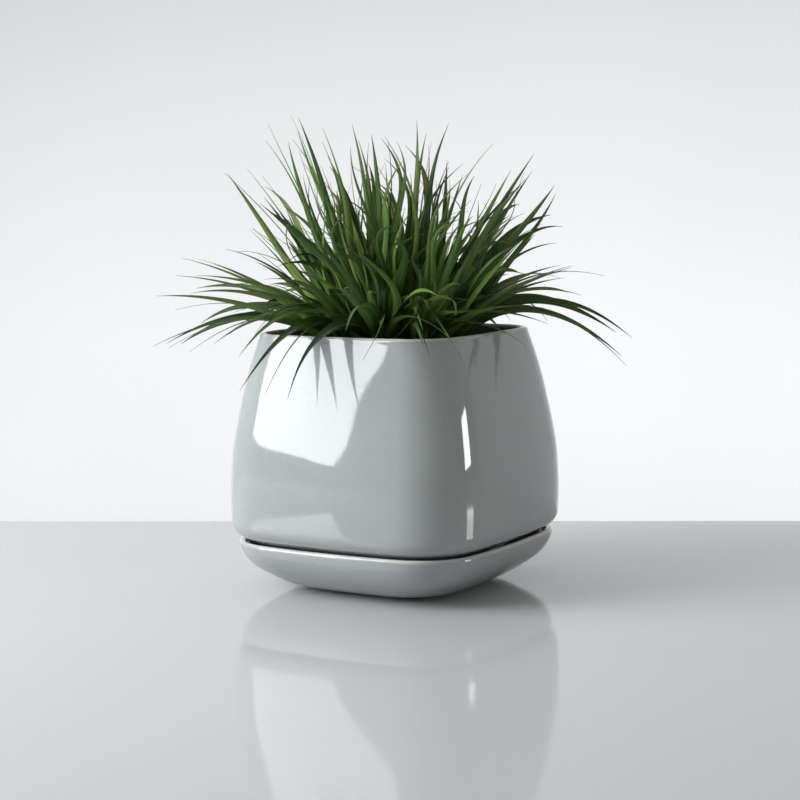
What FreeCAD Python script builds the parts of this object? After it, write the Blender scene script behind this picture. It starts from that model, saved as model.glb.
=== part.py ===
import FreeCAD, Part
import math
import os
import random
import re
import Sketcher

# A self watering planter: a glazed ceramic pot that stands in a matching reservoir dish,
# a plastic grow pot that lifts out of it, a wick that hangs down into the water, and the
# grass that grows in the soil. Millimetres, +Z up. The origin is the centre of the base
# pad's underside, on the surface that the planter stands on.

os.makedirs("parts", exist_ok=True)
doc = FreeCAD.newDocument("SelfWateringPlanter")

SIZES = {
    # plan shape shared by the ceramic pieces: the sides are bowed to this radius
    "side_bow": 600,
    # base pad
    "pad_side": 112,
    "pad_corner": 29,
    "pad_thick": 1.5,
    # saucer, each station as level above the table, width across flats and corner radius
    "saucer_foot_side": 120,
    "saucer_foot_corner": 32,
    "saucer_low_level": 5,
    "saucer_low_side": 144,
    "saucer_low_corner": 36,
    "saucer_mid_level": 12,
    "saucer_mid_side": 168,
    "saucer_mid_corner": 40,
    "saucer_high_level": 20,
    "saucer_high_side": 188,
    "saucer_high_corner": 43,
    "saucer_wall_level": 29,
    "saucer_wall_side": 200,
    "saucer_wall_corner": 45,
    "saucer_rim_level": 38,
    "saucer_rim_side": 205,
    "saucer_rim_corner": 46,
    "saucer_wall": 5,
    "saucer_floor_level": 8.5,
    # pot, stations as on the saucer
    "pot_foot_level": 14,
    "pot_foot_side": 100,
    "pot_foot_corner": 27,
    "pot_turn_level": 44,
    "pot_turn_side": 211,
    "pot_turn_corner": 46.5,
    "pot_turn_round": 12,
    "pot_belly_level": 72,
    "pot_belly_side": 213,
    "pot_belly_corner": 47,
    "pot_waist_level": 103,
    "pot_waist_side": 209,
    "pot_waist_corner": 45,
    "pot_chest_level": 137,
    "pot_chest_side": 197.5,
    "pot_chest_corner": 42,
    "pot_neck_level": 165,
    "pot_neck_side": 185,
    "pot_neck_corner": 38,
    "pot_rim_level": 192,
    "pot_rim_side": 169,
    "pot_rim_corner": 34,
    "pot_wall": 6,
    "pot_floor": 7,
    "rim_round": 2.3,
    # how far a cutting sketch stands off the material that it cuts through
    "overcut": 2,
    # holes in the pot's floor
    "grommet_hole": 28,
    "drain_hole": 9,
    "drain_spread": 60,
    # bumpers under the pot
    "bumper_width": 16,
    "bumper_spread": 64,
    "bumper_round": 1.5,
    # grommet
    "grommet_bore": 20,
    "grommet_flange": 35,
    "grommet_lip": 1.6,
    # grow pot (liner)
    "liner_floor_level": 34,
    "liner_floor_side": 112,
    "liner_floor_corner": 24,
    "liner_top_level": 178,
    "liner_top_side": 146,
    "liner_top_corner": 30,
    "liner_wall": 1.8,
    "liner_flange_side": 153,
    "liner_flange_corner": 33,
    "liner_flange_thick": 2.4,
    "liner_foot_width": 14,
    "liner_foot_spread": 62,
    "liner_slot_width": 4,
    "liner_slot_tall": 26,
    "liner_slot_pitch": 16,
    "liner_slot_level": 50,
    "collar_hole": 22,
    # soil platform inside the liner
    "platform_level": 46,
    "platform_thick": 3,
    "platform_side": 110,
    "platform_corner": 24,
    "platform_hole": 7,
    "platform_reach": 15,
    "platform_leg_width": 9,
    "platform_leg_spread": 74,
    # wick and its collar
    "wick_width": 14,
    "wick_bottom_level": 11,
    "wick_top_level": 96,
    "wick_chamfer": 1.5,
    "wick_gap": 0.25,
    "collar_flange": 32,
    "collar_lip": 2,
    "collar_tail": 5,
    # soil
    "soil_gap": 0.3,
    "soil_top_level": 168,
    "soil_crown_rise": 5,
    "soil_shoulder": 3,
    # plant
    "crown_level": 173.1,
    "crown_tall": 26,
    "crown_taper": 0.6,
    "inner_crown_ring": 14,
    "inner_crown_width": 15,
    "outer_crown_ring": 33,
    "outer_crown_width": 19,
    "blade_thick": 1,
    "blade_spring": 0.42,
    "blade_clearance": 2,
}
# edges within this much of a level, in mm, are taken to lie at it
LEVEL_TOLERANCE = 0.05
# a cut has to take away at least this much, in mm3, to count as made
LEAST_CUT = 1

# where four like things go, as formulas to fill with the name of their spread
FOUR_CORNERS = [
    ("%s / 2", "%s / 2"),
    ("-%s / 2", "%s / 2"),
    ("-%s / 2", "-%s / 2"),
    ("%s / 2", "-%s / 2"),
]
FOUR_SIDES = [
    ("%s / 2", "0 * %s"),
    ("0 * %s", "%s / 2"),
    ("-%s / 2", "0 * %s"),
    ("0 * %s", "-%s / 2"),
]

sheet = doc.addObject("Spreadsheet::Sheet", "Sizes")
for row, (alias, number) in enumerate(SIZES.items(), start=1):
    sheet.set("A%d" % row, alias)
    sheet.set("B%d" % row, str(number))
    sheet.setAlias("B%d" % row, alias)
doc.recompute()


def size(alias):
    return float(sheet.get(alias))


def evaluate(formula):
    return float(sheet.evalExpression(formula))


def sized(words):
    """Turns 'pot_rim_side - 2 * pot_wall' into an expression on the sheet."""
    return re.sub(r"[a-z]\w+", lambda word: "Sizes." + word.group(), words)


def new_body(name):
    body = doc.addObject("PartDesign::Body", name)
    body.Label = name
    return body


def origin_plane(body, role):
    for feature in body.Origin.OriginFeatures:
        if feature.Role == role:
            return feature
    raise LookupError(role)


def new_sketch(body, name, level="0", role="XY_Plane"):
    sketch = body.newObject("Sketcher::SketchObject", name)
    sketch.AttachmentSupport = [(origin_plane(body, role), "")]
    sketch.MapMode = "FlatFace"
    if level != "0":
        sketch.setExpression("AttachmentOffset.Base.z", sized(level))
    return sketch


def bind(sketch, constraint, formula):
    index = sketch.addConstraint(constraint)
    sketch.setExpression("Constraints[%d]" % index, sized(formula))


def add_circle(sketch, diameter, x="0", y="0"):
    """A circle whose centre and diameter follow the sheet."""
    centre = FreeCAD.Vector(evaluate(sized(x)), evaluate(sized(y)), 0)
    radius = evaluate(sized(diameter)) / 2
    index = sketch.addGeometry(Part.Circle(centre, FreeCAD.Vector(0, 0, 1), radius), False)
    bind(sketch, Sketcher.Constraint("Diameter", index, 2 * radius), diameter)
    if x == "0" and y == "0":
        sketch.addConstraint(Sketcher.Constraint("Coincident", index, 3, -1, 1))
        return index
    bind(sketch, Sketcher.Constraint("DistanceX", -1, 1, index, 3, centre.x), x)
    bind(sketch, Sketcher.Constraint("DistanceY", -1, 1, index, 3, centre.y), y)
    return index


def add_rounded_square(sketch, side, corner, bow="side_bow"):
    """Four sides bowed to one radius and four corner arcs tangent to them, all from the sheet."""
    half = evaluate(sized(side)) / 2
    corner_radius = evaluate(sized(corner))
    bow_radius = evaluate(sized(bow))
    shift = bow_radius - half
    reach = bow_radius - corner_radius
    corner_centre = (math.sqrt(2 * reach**2 - shift**2) - shift) / 2
    turn = math.atan2(corner_centre, corner_centre + shift)
    axis = FreeCAD.Vector(0, 0, 1)
    first = sketch.GeometryCount
    for quarter in range(4):
        spin = quarter * math.pi / 2
        side_centre = FreeCAD.Vector(-shift * math.cos(spin), -shift * math.sin(spin), 0)
        side_circle = Part.Circle(side_centre, axis, bow_radius)
        sketch.addGeometry(Part.ArcOfCircle(side_circle, spin - turn, spin + turn), False)
        diagonal = spin + math.pi / 4
        far = corner_centre * math.sqrt(2)
        centre = FreeCAD.Vector(far * math.cos(diagonal), far * math.sin(diagonal), 0)
        corner_circle = Part.Circle(centre, axis, corner_radius)
        end = spin + math.pi / 2 - turn
        sketch.addGeometry(Part.ArcOfCircle(corner_circle, spin + turn, end), False)
    for edge in range(8):
        here = first + edge
        following = first + (edge + 1) % 8
        sketch.addConstraint(Sketcher.Constraint("Tangent", here, 2, following, 1))
    offset = "%s - (%s) / 2" % (bow, side)
    for quarter in range(4):
        side_arc = first + 2 * quarter
        along = -1 if quarter % 2 == 0 else -2
        sketch.addConstraint(Sketcher.Constraint("PointOnObject", side_arc, 3, along))
        kind = "DistanceX" if quarter % 2 == 0 else "DistanceY"
        ends = (side_arc, 3, -1, 1) if quarter < 2 else (-1, 1, side_arc, 3)
        bind(sketch, Sketcher.Constraint(kind, *ends, shift), offset)
        if quarter:
            sketch.addConstraint(Sketcher.Constraint("Equal", first, side_arc))
            sketch.addConstraint(Sketcher.Constraint("Equal", first + 1, side_arc + 1))
    bind(sketch, Sketcher.Constraint("Radius", first, bow_radius), bow)
    bind(sketch, Sketcher.Constraint("Radius", first + 1, corner_radius), corner)


def add_slot(sketch, x, level, width, tall):
    """An upright slot: two straight sides and two half-round ends, all from the sheet."""
    radius = evaluate(sized(width)) / 2
    centre_x = evaluate(sized(x))
    low = evaluate(sized(level))
    high = low + evaluate(sized(tall))
    axis = FreeCAD.Vector(0, 0, 1)
    right_low = FreeCAD.Vector(centre_x + radius, low, 0)
    right_high = FreeCAD.Vector(centre_x + radius, high, 0)
    left_low = FreeCAD.Vector(centre_x - radius, low, 0)
    left_high = FreeCAD.Vector(centre_x - radius, high, 0)
    top_circle = Part.Circle(FreeCAD.Vector(centre_x, high, 0), axis, radius)
    bottom_circle = Part.Circle(FreeCAD.Vector(centre_x, low, 0), axis, radius)
    right = sketch.addGeometry(Part.LineSegment(right_low, right_high), False)
    top = sketch.addGeometry(Part.ArcOfCircle(top_circle, 0, math.pi), False)
    left = sketch.addGeometry(Part.LineSegment(left_high, left_low), False)
    bottom = sketch.addGeometry(Part.ArcOfCircle(bottom_circle, math.pi, 2 * math.pi), False)
    for here, following in ((right, top), (top, left), (left, bottom), (bottom, right)):
        sketch.addConstraint(Sketcher.Constraint("Tangent", here, 2, following, 1))
    sketch.addConstraint(Sketcher.Constraint("Vertical", right))
    bind(sketch, Sketcher.Constraint("Radius", top, radius), "(%s) / 2" % width)
    bind(sketch, Sketcher.Constraint("DistanceX", -1, 1, top, 3, centre_x), x)
    bind(sketch, Sketcher.Constraint("DistanceY", -1, 1, bottom, 3, low), level)
    bind(sketch, Sketcher.Constraint("DistanceY", bottom, 3, top, 3, high - low), tall)


def loft(body, kind, name, stations, ruled=False):
    """A loft through (name, level, side, corner, bow) stations, added or taken away."""
    sections = []
    for word, level, side, corner, bow in stations:
        section = new_sketch(body, "%s_%s" % (name, word), level)
        add_rounded_square(section, side, corner, bow)
        sections.append(section)
    doc.recompute()
    feature = body.newObject("PartDesign::%sLoft" % kind, name)
    feature.Profile = sections[0]
    feature.Sections = sections[1:]
    feature.Ruled = ruled
    doc.recompute()
    return feature


def pad(body, sketch, name, length, down=False):
    feature = body.newObject("PartDesign::Pad", name)
    feature.Profile = sketch
    feature.setExpression("Length", sized(length))
    feature.Reversed = down
    doc.recompute()
    return feature


def pocket_up(body, sketch, name, length):
    """A pocket that cuts upwards from its sketch, checked to take some material away."""
    before = body.Shape.Volume
    feature = body.newObject("PartDesign::Pocket", name)
    feature.Profile = sketch
    feature.setExpression("Length", sized(length))
    feature.Reversed = True
    doc.recompute()
    if body.Shape.Volume > before - LEAST_CUT:
        raise RuntimeError("%s cuts nothing" % name)
    return feature


def cut_both_ways(body, sketch, name, length):
    """A pocket that cuts the same length each side of its sketch."""
    before = body.Shape.Volume
    feature = body.newObject("PartDesign::Pocket", name)
    feature.Profile = sketch
    feature.setExpression("Length", sized(length))
    feature.Midplane = True
    doc.recompute()
    if body.Shape.Volume > before - LEAST_CUT:
        raise RuntimeError("%s cuts nothing" % name)
    return feature


def edges_at(body, level):
    """The names of the edges that lie wholly at one level."""
    found = []
    for number, edge in enumerate(body.Shape.Edges, start=1):
        box = edge.BoundBox
        if max(abs(box.ZMin - level), abs(box.ZMax - level)) < LEVEL_TOLERANCE:
            found.append("Edge%d" % number)
    return found


def round_edges(body, name, edges, radius):
    base = body.Tip
    feature = body.newObject("PartDesign::Fillet", name)
    feature.Base = (base, edges)
    feature.setExpression("Radius", sized(radius))
    doc.recompute()
    return feature


def outline(body, name, points):
    """A closed half profile on the XZ plane from (across, up) formulas, for a revolution."""
    sketch = new_sketch(body, name, role="XZ_Plane")
    places = []
    for across, up in points:
        places.append(FreeCAD.Vector(evaluate(sized(across)), evaluate(sized(up)), 0))
    for number, place in enumerate(places):
        following = places[(number + 1) % len(places)]
        sketch.addGeometry(Part.LineSegment(place, following), False)
    for number, (across, up) in enumerate(points):
        before = (number - 1) % len(points)
        sketch.addConstraint(Sketcher.Constraint("Coincident", before, 2, number, 1))
        start = places[number]
        bind(sketch, Sketcher.Constraint("DistanceX", -1, 1, number, 1, start.x), across)
        bind(sketch, Sketcher.Constraint("DistanceY", -1, 1, number, 1, start.y), up)
    return sketch


def revolve(body, sketch, name):
    feature = body.newObject("PartDesign::Revolution", name)
    feature.Profile = sketch
    feature.ReferenceAxis = (sketch, ["V_Axis"])
    feature.Angle = 360
    doc.recompute()
    return feature


# ---------------------------------------------------------------- reservoir dish

def make_base_pad():
    body = new_body("base_pad")
    sheet_outline = new_sketch(body, "pad_outline")
    add_rounded_square(sheet_outline, "pad_side", "pad_corner")
    pad(body, sheet_outline, "pad_slab", "pad_thick")
    return body


SAUCER_STATIONS = ["low", "mid", "high", "wall", "rim"]


def make_saucer():
    body = new_body("saucer")
    outer = [("foot", "pad_thick", "saucer_foot_side", "saucer_foot_corner", "side_bow")]
    for word in SAUCER_STATIONS:
        level = "saucer_%s_level" % word
        side = "saucer_%s_side" % word
        corner = "saucer_%s_corner" % word
        outer.append((word, level, side, corner, "side_bow"))
    loft(body, "Additive", "dish_outside", outer)
    inner = []
    bow = "side_bow - saucer_wall"
    floor_side = "saucer_low_side - 2 * saucer_wall"
    inner.append(
        ("floor", "saucer_floor_level", floor_side, "saucer_low_corner - saucer_wall", bow)
    )
    lift = "saucer_floor_level - saucer_low_level"
    for word in ["mid", "high", "wall"]:
        level = "saucer_%s_level + (%s) / 2" % (word, lift)
        side = "saucer_%s_side - 2 * saucer_wall" % word
        corner = "saucer_%s_corner - saucer_wall" % word
        inner.append((word, level, side, corner, bow))
    rim_side = "saucer_rim_side - 2 * saucer_wall"
    rim_corner = "saucer_rim_corner - saucer_wall"
    inner.append(("rim", "saucer_rim_level", rim_side, rim_corner, bow))
    loft(body, "Subtractive", "dish_inside", inner)
    round_edges(body, "rim_rounding", edges_at(body, size("saucer_rim_level")), "rim_round")
    return body


# ---------------------------------------------------------------- ceramic pot

POT_STATIONS = ["turn", "belly", "waist", "chest", "neck", "rim"]


def make_pot():
    """A straight sloping underside, a rounded turn, and bellied walls up to a narrow rim."""
    body = new_body("pot")
    foot = ("foot", "pot_foot_level", "pot_foot_side", "pot_foot_corner", "side_bow")
    walls = []
    for word in POT_STATIONS:
        level = "pot_%s_level" % word
        side = "pot_%s_side" % word
        corner = "pot_%s_corner" % word
        walls.append((word, level, side, corner, "side_bow"))
    loft(body, "Additive", "pot_underside", [foot, walls[0]], ruled=True)
    loft(body, "Additive", "pot_outside", walls)
    turn = edges_at(body, size("pot_turn_level"))
    round_edges(body, "turn_rounding", turn, "pot_turn_round")
    bow = "side_bow - pot_wall"
    slope = "(pot_turn_level - pot_foot_level) / (pot_turn_side / 2 - pot_foot_side / 2)"
    turn_level = "pot_turn_level + pot_floor - pot_wall * " + slope
    floor_level = "pot_foot_level + pot_floor"
    inner = []
    for word, level, side, corner, outer_bow in walls:
        if word == "turn":
            level = turn_level
        inner.append((word, level, side + " - 2 * pot_wall", corner + " - pot_wall", bow))
    floor = ("floor", floor_level, "pot_foot_side", "pot_foot_corner - pot_wall", bow)
    loft(body, "Subtractive", "pot_hollow_low", [floor, inner[0]], ruled=True)
    loft(body, "Subtractive", "pot_hollow_high", inner)
    holes = new_sketch(body, "floor_holes", "pot_foot_level - overcut")
    add_circle(holes, "grommet_hole")
    for x, y in FOUR_SIDES:
        add_circle(holes, "drain_hole", x % "drain_spread", y % "drain_spread")
    pocket_up(body, holes, "floor_bores", "pot_floor + 2 * overcut")
    round_edges(body, "rim_rounding", edges_at(body, size("pot_rim_level")), "rim_round")
    return body


def make_bumper(number, x, y):
    """A silicone foot, cemented under the pot, that stands on the dish's floor."""
    body = new_body("pot_bumper_%d" % number)
    disc = new_sketch(body, "bumper_disc", "saucer_floor_level")
    add_circle(disc, "bumper_width")
    pad(body, disc, "bumper_pad", "pot_foot_level - saucer_floor_level")
    low = edges_at(body, size("saucer_floor_level"))
    round_edges(body, "bumper_rounding", low, "bumper_round")
    body.setExpression("Placement.Base.x", sized(x % "bumper_spread"))
    body.setExpression("Placement.Base.y", sized(y % "bumper_spread"))
    return body


def make_grommet():
    """A ring with a flange on each face of the pot's floor."""
    body = new_body("drain_grommet")
    bore = "grommet_bore / 2"
    seat = "grommet_hole / 2"
    flange = "grommet_flange / 2"
    under = "pot_foot_level"
    over = "pot_foot_level + pot_floor"
    profile = [
        (bore, under + " - grommet_lip"),
        (flange, under + " - grommet_lip"),
        (flange, under),
        (seat, under),
        (seat, over),
        (flange, over),
        (flange, over + " + grommet_lip"),
        (bore, over + " + grommet_lip"),
    ]
    revolve(body, outline(body, "grommet_profile", profile), "grommet_ring")
    return body


# ---------------------------------------------------------------- grow pot that lifts out

def make_liner():
    body = new_body("liner")
    wall_bow = "side_bow - liner_wall"
    outside = [
        ("floor", "liner_floor_level", "liner_floor_side", "liner_floor_corner", "side_bow"),
        ("top", "liner_top_level", "liner_top_side", "liner_top_corner", "side_bow"),
    ]
    loft(body, "Additive", "liner_outside", outside, ruled=True)
    flange_level = "liner_top_level - liner_flange_thick"
    flange = new_sketch(body, "liner_flange", flange_level)
    add_rounded_square(flange, "liner_flange_side", "liner_flange_corner")
    pad(body, flange, "liner_flange_pad", "liner_flange_thick")
    feet = new_sketch(body, "liner_feet", "liner_floor_level")
    for x, y in FOUR_CORNERS:
        add_circle(feet, "liner_foot_width", x % "liner_foot_spread", y % "liner_foot_spread")
    foot_tall = "liner_floor_level - pot_foot_level - pot_floor"
    pad(body, feet, "liner_feet_pad", foot_tall, down=True)
    inside = []
    for word in ("floor", "top"):
        level = "liner_%s_level" % word
        if word == "floor":
            level += " + liner_wall"
        side = "liner_%s_side - 2 * liner_wall" % word
        corner = "liner_%s_corner - liner_wall" % word
        inside.append((word, level, side, corner, wall_bow))
    loft(body, "Subtractive", "liner_inside", inside, ruled=True)
    holes = new_sketch(body, "liner_holes", "liner_floor_level - overcut")
    add_circle(holes, "collar_hole")
    for x, y in FOUR_SIDES:
        add_circle(holes, "drain_hole", x % "liner_foot_spread", y % "liner_foot_spread")
    pocket_up(body, holes, "liner_floor_bores", "liner_wall + 2 * overcut")
    for role, word in (("XZ_Plane", "front"), ("YZ_Plane", "side")):
        slots = new_sketch(body, "liner_slots_" + word, role=role)
        for step in (-1, 0, 1):
            centre = "%d * liner_slot_pitch" % step
            add_slot(slots, centre, "liner_slot_level", "liner_slot_width", "liner_slot_tall")
        cut_both_ways(body, slots, "liner_slots_cut_" + word, "liner_top_side + 2 * overcut")
    return body


# the holes go this many steps out from the wick, and this many in all towards a corner
PLATFORM_STEPS = 3
PLATFORM_CORNER_STEPS = 4


def make_platform():
    """A perforated plate on short legs that keeps the soil above the liner's floor."""
    body = new_body("soil_platform")
    plate = new_sketch(body, "platform_outline", "platform_level")
    add_rounded_square(plate, "platform_side", "platform_corner")
    add_circle(plate, "collar_hole")
    pad(body, plate, "platform_plate", "platform_thick")
    legs = new_sketch(body, "platform_legs", "platform_level")
    for x, y in FOUR_CORNERS:
        add_circle(legs, "platform_leg_width", x % "platform_leg_spread", y % "platform_leg_spread")
    leg_tall = "platform_level - liner_floor_level - liner_wall"
    pad(body, legs, "platform_legs_pad", leg_tall, down=True)
    holes = new_sketch(body, "platform_holes", "platform_level - overcut")
    for column in range(-PLATFORM_STEPS, PLATFORM_STEPS + 1):
        for row in range(-PLATFORM_STEPS, PLATFORM_STEPS + 1):
            near_wick = max(abs(column), abs(row)) <= 1
            over_leg = abs(column) + abs(row) > PLATFORM_CORNER_STEPS
            if near_wick or over_leg:
                continue
            x = "%d * platform_reach" % column
            y = "%d * platform_reach" % row
            add_circle(holes, "platform_hole", x, y)
    pocket_up(body, holes, "platform_perforation", "platform_thick + 2 * overcut")
    return body


def make_wick():
    """A stiff rod of bonded fibre that hangs through the pot's floor into the water."""
    body = new_body("wick_rod")
    disc = new_sketch(body, "wick_disc", "wick_bottom_level")
    add_circle(disc, "wick_width")
    pad(body, disc, "wick_pad", "wick_top_level - wick_bottom_level")
    ends = edges_at(body, size("wick_bottom_level")) + edges_at(body, size("wick_top_level"))
    rod = body.Tip
    feature = body.newObject("PartDesign::Chamfer", "wick_ends")
    feature.Base = (rod, ends)
    feature.setExpression("Size", sized("wick_chamfer"))
    doc.recompute()
    return body


def make_collar():
    """A flanged bush, split into a flange above the liner's floor and a tail below it."""
    body = new_body("wick_collar")
    bore = "wick_width / 2"
    seat = "collar_hole / 2"
    flange = "collar_flange / 2"
    floor = "liner_floor_level"
    over = "liner_floor_level + liner_wall"
    profile = [
        (bore, floor + " - collar_tail"),
        (seat, floor + " - collar_tail"),
        (seat, over),
        (flange, over),
        (flange, over + " + collar_lip"),
        (bore, over + " + collar_lip"),
    ]
    revolve(body, outline(body, "collar_profile", profile), "collar_ring")
    return body


def soil_station(word, level, shrink):
    """A section of the soil that keeps its gap inside the liner, drawn in by shrink."""
    low = "(liner_floor_level + liner_wall)"
    share = "((%s) - %s) / (liner_top_level - %s)" % (level, low, low)
    inset = "liner_wall - soil_gap - (%s)" % shrink
    side = "liner_floor_side + %s * (liner_top_side - liner_floor_side)" % share
    corner = "liner_floor_corner + %s * (liner_top_corner - liner_floor_corner)" % share
    twice = "2 * liner_wall - 2 * soil_gap - 2 * (%s)" % shrink
    return (word, level, "%s - %s" % (side, twice), "%s - %s" % (corner, inset), "side_bow")


def make_soil():
    """The potting soil: it fills the liner above the platform, round the wick."""
    body = new_body("soil")
    bottom = "platform_level + platform_thick"
    top = "soil_top_level"
    block = [soil_station("low", bottom, "0"), soil_station("high", top, "0")]
    loft(body, "Additive", "soil_block", block, ruled=True)
    crown = "soil_top_level + soil_crown_rise"
    dome = [
        soil_station("edge", top, "soil_shoulder"),
        ("crown", crown, "liner_top_side - 2 * liner_top_corner", "liner_floor_corner", "side_bow"),
    ]
    loft(body, "Additive", "soil_dome", dome, ruled=True)
    bore = new_sketch(body, "wick_bore", bottom + " - overcut")
    add_circle(bore, "wick_width + 2 * wick_gap")
    pocket_up(body, bore, "wick_hole", "wick_top_level - (%s) + overcut + wick_gap" % bottom)
    return body


# ---------------------------------------------------------------- the grass

# Each leaf is an arch: the heading it leans to in degrees, how far its tip reaches from the
# planter's axis, the level of its tip, the level that it springs towards on the way, and its
# width. Fans of leaves give the plant its outline. Each spreads its leaves evenly between two
# headings and draws the rest of a leaf between limits, in mm.
FANS = [
    # over the rim and nearly level, then hanging, to the left
    {
        "leaves": 6, "to": (195, 232),
        "reach": (150, 185), "tip": (220, 250),
        "lift": (206, 236), "width": (6, 8),
    },
    {
        "leaves": 4, "to": (195, 228),
        "reach": (165, 185), "tip": (165, 200),
        "lift": (224, 232), "width": (7, 10),
    },
    # hanging over the front, the widest of all
    {
        "leaves": 3, "to": (250, 275),
        "reach": (140, 150), "tip": (140, 160),
        "lift": (232, 240), "width": (8, 12),
    },
    {
        "leaves": 1, "to": (320, 320),
        "reach": (135, 145), "tip": (165, 180),
        "lift": (230, 240), "width": (8, 9),
    },
    # nearly level, then hanging, to the right
    {
        "leaves": 3, "to": (5, 45),
        "reach": (130, 145), "tip": (225, 250),
        "lift": (214, 228), "width": (8, 9),
    },
    {
        "leaves": 4, "to": (5, 40),
        "reach": (165, 185), "tip": (155, 205),
        "lift": (240, 250), "width": (7, 10),
    },
    # the tall crown, highest on the left, and its two shoulders
    {
        "leaves": 8, "to": (180, 265),
        "reach": (70, 100), "tip": (310, 355),
        "lift": (250, 290), "width": (7, 9),
    },
    {
        "leaves": 9, "to": (185, 380),
        "reach": (20, 60), "tip": (315, 350),
        "lift": (268, 280), "width": (7, 9),
    },
    {
        "leaves": 3, "to": (200, 240),
        "reach": (105, 135), "tip": (300, 318),
        "lift": (230, 290), "width": (7, 9),
    },
    {
        "leaves": 9, "to": (355, 410),
        "reach": (100, 130), "tip": (265, 330),
        "lift": (236, 280), "width": (8, 10),
    },
]
FAN_SEED = 1
INNER_HEADINGS = [45, 135, 225, 315]
OUTER_HEADINGS = [15, 60, 105, 150, 195, 240, 285, 330]
# leaves that reach less far than this, in mm, spring from the inner ring of crowns
UPRIGHT_REACH = 82
# more leaves drawn at random: how many to a crown, and more of them between two headings
FILL_SEED = 20
FILL_LEAVES = 4
BACK_FILL_LEAVES = 8
BACK_HEADINGS = (75, 165)
# the limits of a drawn leaf, in the same terms, and how far it may lean off its crown's way
UPRIGHT_FILL = {"tip": (295, 350), "reach": (20, 80), "lift": (255, 285), "width": (7, 10)}
HANGING_FILL = {"tip": (160, 240), "reach": (130, 180), "lift": (226, 252), "width": (7, 11)}
ARCHING_FILL = {"tip": (250, 325), "reach": (85, 130), "lift": (240, 275), "width": (7, 10)}
INNER_LEAN = 45
OUTER_LEAN = 26
HANGING_SHARE = 0.5
# a leaf: its sections, the width of its sheath and where it is widest, and how its tip tapers
LEAF_SECTIONS = 9
SHEATH_WIDTH = 0.55
WIDEST_AT = 0.35
TIP_POWER = 2.2
TIP_LEAST = 0.006
# its folded section: how high the edges stand over the keel, and the keel's depth
EDGE_RISE = 0.15
KEEL_SHARE = 0.6
# where leaves start in their crown, in mm and in radii, and the most that they twist, in radians
ROOT_DEPTH = 3
ROOT_SPREAD = 0.5
MOST_TWIST = 0.7
# how finely a leaf is checked against the pot, and how it is lifted until it is clear
CHECK_STEPS = 40
LIFT_STEP = 4
LIFT_TRIES = 40


def angle_between(first, second):
    """How far apart two headings are, in degrees."""
    return abs((first - second + 180) % 360 - 180)


def fan_leaves():
    """The leaves of every fan, each as its heading, reach, tip level, lift and width."""
    draw = random.Random(FAN_SEED)
    leaves = []
    for fan in FANS:
        first, last = fan["to"]
        for number in range(fan["leaves"]):
            heading = first + (last - first) * (number + 0.5) / fan["leaves"]
            drawn = [draw.uniform(*fan[what]) for what in ("reach", "tip", "lift", "width")]
            leaves.append((heading % 360, *drawn))
    return leaves


def fill_leaf(draw, heading, inner):
    """A leaf drawn at random inside the limits that the plant keeps to."""
    most = INNER_LEAN if inner else OUTER_LEAN
    lean = heading + draw.uniform(-most, most)
    if inner:
        limits = UPRIGHT_FILL
    elif draw.random() < HANGING_SHARE:
        limits = HANGING_FILL
    else:
        limits = ARCHING_FILL
    drawn = {what: draw.uniform(*pair) for what, pair in limits.items()}
    return (lean, drawn["reach"], drawn["tip"], drawn["lift"], drawn["width"])


def plan_tufts():
    """(name, crown centre, crown width, leaves) for each division of the plant."""
    tufts = []
    headings = [(h, True) for h in INNER_HEADINGS] + [(h, False) for h in OUTER_HEADINGS]
    for number, (heading, inner) in enumerate(headings, start=1):
        ring = size("inner_crown_ring" if inner else "outer_crown_ring")
        width = size("inner_crown_width" if inner else "outer_crown_width")
        turn = math.radians(heading)
        centre = FreeCAD.Vector(ring * math.cos(turn), ring * math.sin(turn), 0)
        centre.z = size("crown_level")
        tufts.append(("tuft_%02d" % number, heading, inner, centre, width, []))
    for leaf in fan_leaves():
        upright = leaf[1] < UPRIGHT_REACH
        alike = [tuft for tuft in tufts if tuft[2] == upright]
        nearest = min(alike, key=lambda tuft: angle_between(tuft[1], leaf[0]))
        nearest[5].append(leaf)
    for number, tuft in enumerate(tufts):
        draw = random.Random(FILL_SEED + number)
        behind = BACK_HEADINGS[0] < tuft[1] < BACK_HEADINGS[1]
        for extra in range(BACK_FILL_LEAVES if behind else FILL_LEAVES):
            tuft[5].append(fill_leaf(draw, tuft[1], tuft[2]))
    return tufts


def box_distance(point, half, corner):
    """How far a plan point is outside a rounded square, or, negative, inside it."""
    dx = abs(point.x) - half + corner
    dy = abs(point.y) - half + corner
    return math.hypot(max(dx, 0), max(dy, 0)) + min(max(dx, dy), 0) - corner


def pot_half(level):
    """The pot's half width at a level between its turn and its rim."""
    words = POT_STATIONS
    for lower, upper in zip(words, words[1:]):
        low = size("pot_%s_level" % lower)
        high = size("pot_%s_level" % upper)
        if low <= level <= high:
            share = (level - low) / (high - low)
            narrow = size("pot_%s_side" % lower) * (1 - share)
            return (narrow + size("pot_%s_side" % upper) * share) / 2
    return size("pot_rim_side") / 2


def arch(root, leaf, lift, share):
    """The point and the direction of a leaf's centre line at a share of its length."""
    heading, reach, tip = leaf[:3]
    turn = math.radians(heading)
    end = FreeCAD.Vector(reach * math.cos(turn), reach * math.sin(turn), tip)
    bend = root + (end - root) * size("blade_spring")
    bend.z = lift
    place = root * (1 - share) ** 2 + bend * (2 * share * (1 - share)) + end * share**2
    along = (bend - root) * (1 - share) + (end - bend) * share
    along.normalize()
    return place, along


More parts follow.
